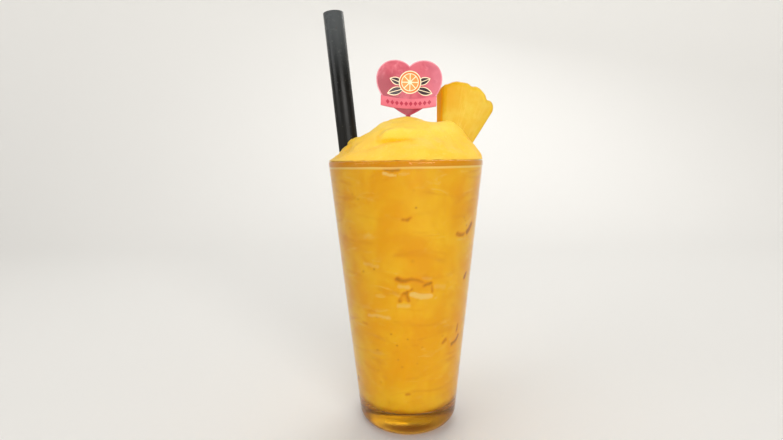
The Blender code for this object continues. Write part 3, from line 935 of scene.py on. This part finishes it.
# The heap's painted shading from the dabs: painted shade in its hollows, and a painted highlight.
def heap_painted_shading(point):
    tone = 0.0
    for x, y, z, wide, deep, high, dab in HEAP_DABS:
        apart = ((point.x - x) / wide) ** 2 + ((point.y - y) / deep) ** 2 + ((point.z - z) / high) ** 2
        tone += dab * math.exp(-apart)
    return max(-1.0, min(1.0, tone))


def make_smoothie():
    smoothie = spin_profile("frozen_smoothie", smoothie_profile(), SMOOTHIE_STEPS)
    close_piece()
    shape_smoothie(smoothie)
    press_marks(smoothie)
    smoothie.data.materials.append(smoothie_finish())
    settle(smoothie, "fruit_smoothie", "smoothie")


# The straw

def make_straw():
    foot = Vector((*STRAW_AT_RIM, GLASS_HEIGHT)) + STRAW_LEAN * (STRAW_FOOT_Z - GLASS_HEIGHT)
    length = (STRAW_TOP_Z - STRAW_FOOT_Z) * STRAW_LEAN.length
    bpy.ops.object.select_all(action="DESELECT")
    bpy.ops.mesh.primitive_cylinder_add(
        vertices=STRAW_SIDES, radius=STRAW_RADIUS, depth=length, end_fill_type="NOTHING",
        location=(0.0, 0.0, length / 2),
    )
    straw = open_piece("wide_straw")
    bpy.ops.mesh.subdivide(number_cuts=1)
    close_piece()
    finish_modifier(straw, "SOLIDIFY", thickness=STRAW_WALL, offset=-1.0)
    finish_modifier(straw, "BEVEL", width=STRAW_EDGE, segments=2, angle_limit=SHARP)
    turn = Vector((0.0, 0.0, 1.0)).rotation_difference(STRAW_LEAN).to_matrix().to_4x4()
    straw.data.transform(Matrix.Translation(foot) @ turn)
    straw.select_set(True)
    bpy.ops.object.shade_smooth_by_angle(angle=math.radians(40))
    straw.data.materials.append(straw_finish())
    settle(straw, "black_plastic", "straw")


# The pineapple chunk

def chunk_reach(fan):
    """How far the chunk's outer side is from its apex along a line that leans by the angle fan."""
    along = Vector((math.sin(fan), math.cos(fan)))
    across = CHUNK_ARC_CENTRE.dot(along)
    radius = CHUNK_ARC_RADIUS
    for _ in range(2):
        reach = across + math.sqrt(radius**2 - CHUNK_ARC_CENTRE.length_squared + across**2)
        from_centre = along * reach - CHUNK_ARC_CENTRE
        turn = math.atan2(from_centre.x, from_centre.y)
        radius = CHUNK_ARC_RADIUS
        for notch, width, depth in CHUNK_NOTCHES:
            radius -= depth * math.exp(-(((turn - notch) / width) ** 2))
    return reach


def shape_chunk_point(point):
    """Bends a point of a rounded block to the wedge, and gives its faces fibres and its skin side lumps."""
    core = CHUNK_BLOCK - Vector((CHUNK_ROUNDING,) * 3)
    inner = Vector([max(-c, min(c, v)) for v, c in zip(point, core)])
    rounded = inner + (point - inner).normalized() * CHUNK_ROUNDING
    fan = CHUNK_HALF_TAPER * rounded.x / CHUNK_BLOCK.x
    share = (rounded.z / CHUNK_BLOCK.z + 1.0) / 2.0
    reach = CHUNK_NARROW_END + (chunk_reach(fan) - CHUNK_NARROW_END) * share
    place = Vector((reach * math.sin(fan), rounded.y, reach * math.cos(fan)))
    fibre = noise.noise(Vector((fan * 60.0, place.y * 700.0, reach * 90.0)))
    lump = noise.noise(place / 0.0045)
    if abs(rounded.y) > CHUNK_BLOCK.y - 0.0004:
        place.y -= math.copysign(FIBRE_DEPTH * fibre + LUMP_DEPTH * lump, place.y)
    outer = smoothstep(0.75, 1.0, share)
    place += Vector((math.sin(fan), 0.0, math.cos(fan))) * outer * RIND_DEPTH * lump
    return CHUNK_PLACING @ place


def make_chunk():
    bpy.ops.object.select_all(action="DESELECT")
    bpy.ops.mesh.primitive_cube_add(size=2.0, scale=CHUNK_BLOCK)
    chunk = open_piece("pineapple_wedge")
    bpy.ops.mesh.subdivide(number_cuts=CHUNK_CUTS)
    close_piece()
    for vertex in chunk.data.vertices:
        vertex.co = shape_chunk_point(vertex.co)
    chunk.select_set(True)
    chunk.data.materials.append(chunk_finish())
    settle(chunk, "pineapple_flesh", "pineapple_chunk")


# The heart-shaped pick

def bezier(start, pull, push, end, steps):
    points = []
    for i in range(steps):
        t = i / steps
        weights = ((1 - t) ** 3, 3 * t * (1 - t) ** 2, 3 * t * t * (1 - t), t**3)
        pairs = list(zip(weights, (start, pull, push, end)))
        points.append((sum(w * p[0] for w, p in pairs), sum(w * p[1] for w, p in pairs)))
    return points


def heart_outline():
    """From the spike's point up its right side, round the right lobe to the cleft, and back mirrored."""
    side = ((0.0, 0.0), (0.0060, 0.0026), (HEART_HALF_WIDTH, 0.0095), (HEART_HALF_WIDTH, HEART_WIDEST))
    lobe = (side[3], (HEART_HALF_WIDTH, 0.0265), (0.0138, HEART_TOP), (HEART_LOBE_X, HEART_TOP))
    inner = (lobe[3], (0.0052, HEART_TOP), (0.0022, 0.0296), (0.0, HEART_CLEFT))
    half = SPIKE_WIDTH / 2
    right = [(half, SPIKE_WIDTH - SPIKE_LENGTH), (half, 0.0006)]
    right += [point for curve in (side, lobe, inner) for point in bezier(*curve, CURVE_STEPS)][2:]
    return [(0.0, -SPIKE_LENGTH), *right, (0.0, HEART_CLEFT), *[(-x, z) for x, z in reversed(right)]]


def banner_outline():
    """A band that sags in the middle and ends just past the heart's sides."""
    steps = 2 * CURVE_STEPS
    across = [-1 + 2 * i / steps for i in range(steps + 1)]
    low = BANNER_MIDDLE - BANNER_HEIGHT / 2
    bottom = [(BANNER_HALF_WIDTH * share, low + BANNER_SAG * share * share) for share in across]
    return bottom + [(x, z + BANNER_HEIGHT) for x, z in reversed(bottom)]


def select_faces(piece, wanted):
    """Opens the piece with those faces selected for which wanted(normal) holds."""
    bpy.ops.object.mode_set(mode="EDIT")
    bpy.ops.mesh.select_mode(type="FACE")
    bpy.ops.mesh.select_all(action="DESELECT")
    bpy.ops.object.mode_set(mode="OBJECT")
    for face in piece.data.polygons:
        face.select = wanted(face.normal)
    bpy.ops.object.mode_set(mode="EDIT")


def make_heart():
    """The heart on its spike: a flat plate whose faces are sunk a little inside a border, painted paler for
    the light its edge catches.
    """
    heart = plate("heart_plate", heart_outline(), HEART_THICKNESS)
    bpy.ops.object.mode_set(mode="OBJECT")
    heart.data.materials.append(heart_finish())
    heart.data.materials.append(border_finish())
    select_faces(heart, lambda normal: abs(normal.y) > 0.9)
    bpy.ops.mesh.inset(thickness=HEART_BORDER, depth=-HEART_SUNK, use_individual=True)
    bpy.ops.object.mode_set(mode="OBJECT")
    for face in heart.data.polygons:
        face.material_index = 0 if len(face.vertices) > 4 else 1
    finish_modifier(heart, "BEVEL", width=PICK_EDGE, segments=3, angle_limit=SHARP)
    heart.data.transform(PICK_PLACING)
    bpy.ops.object.shade_smooth_by_angle(angle=math.radians(35))
    settle(heart, "pink_plastic", "heart_pick")


def make_banner():
    banner = plate("heart_banner", banner_outline(), HEART_THICKNESS + 2 * BANNER_PROUD)
    bpy.ops.object.mode_set(mode="OBJECT")
    finish_modifier(banner, "BEVEL", width=PICK_EDGE, segments=3, angle_limit=SHARP)
    banner.data.transform(PICK_PLACING)
    bpy.ops.object.shade_smooth_by_angle(angle=math.radians(35))
    banner.data.materials.append(banner_finish())
    settle(banner, "pink_plastic")


# The stage, the lights and the camera

def make_backdrop():
    """A pale floor that curves up into a pale wall far behind the glass."""
    bpy.ops.object.select_all(action="DESELECT")
    bpy.ops.mesh.primitive_plane_add(size=1.0, location=FLOOR_MIDDLE)
    bpy.context.object.scale = FLOOR_SIZE
    floor = open_piece("pale_floor")
    close_piece()
    back = max(vertex.co.y for vertex in floor.data.vertices)
    bpy.ops.object.mode_set(mode="EDIT")
    bpy.ops.mesh.select_mode(type="EDGE")
    bpy.ops.mesh.select_all(action="DESELECT")
    bpy.ops.object.mode_set(mode="OBJECT")
    for edge in floor.data.edges:
        edge.select = all(floor.data.vertices[i].co.y > back - 0.001 for i in edge.vertices)
    bpy.ops.object.mode_set(mode="EDIT")
    bpy.ops.mesh.extrude_region_move(TRANSFORM_OT_translate={"value": (0.0, 0.0, WALL_HEIGHT)})
    bpy.ops.object.mode_set(mode="OBJECT")
    finish_modifier(floor, "BEVEL", width=WALL_CURVE, segments=24, angle_limit=math.radians(30))
    floor.select_set(True)
    bpy.ops.object.shade_smooth()
    floor.data.materials.append(backdrop_finish())


def softbox(name, place, width, height, power, colour):
    """A rectangular lamp that looks at the drink."""
    lamp = bpy.data.lights.new(name, "AREA")
    lamp.shape = "RECTANGLE"
    lamp.size = width
    lamp.size_y = height
    lamp.energy = power
    lamp.color = colour
    made = bpy.data.objects.new(name, lamp)
    bpy.context.scene.collection.objects.link(made)
    made.location = place
    made.rotation_euler = (Vector(LAMP_AIM) - Vector(place)).to_track_quat("-Z", "Y").to_euler()


def light_scene():
    for name, lamp in LAMPS.items():
        softbox(name, *lamp)
    world = bpy.data.worlds.new("soft_room")
    world.use_nodes = True
    background = world.node_tree.nodes["Background"]
    background.inputs["Color"].default_value = ROOM_COLOUR
    background.inputs["Strength"].default_value = ROOM_STRENGTH
    bpy.context.scene.world = world


def place_camera():
    """At the photo's own distance and angle, level with the rim."""
    camera = bpy.data.objects.new("camera", bpy.data.cameras.new("camera"))
    bpy.context.scene.collection.objects.link(camera)
    camera.data.sensor_width = SENSOR_WIDTH
    camera.data.lens = SENSOR_WIDTH * LENS_IN_PIXELS / PICTURE_WIDTH
    camera.data.clip_start = 0.01
    place = Matrix.Translation(CAMERA_PLACE)
    place @= Matrix.Rotation(math.radians(CAMERA_HEADING), 4, "Z")
    place @= Matrix.Rotation(math.radians(90.0 - CAMERA_DOWN), 4, "X")
    place @= Matrix.Rotation(math.radians(CAMERA_ROLL), 4, "Z")
    camera.matrix_world = place
    bpy.context.scene.camera = camera
    bpy.context.scene.view_settings.view_transform = "Standard"


bpy.ops.object.select_all(action="DESELECT")
make_glass()
make_smoothie()
make_straw()
make_chunk()
make_heart()
make_banner()
make_backdrop()
light_scene()
place_camera()
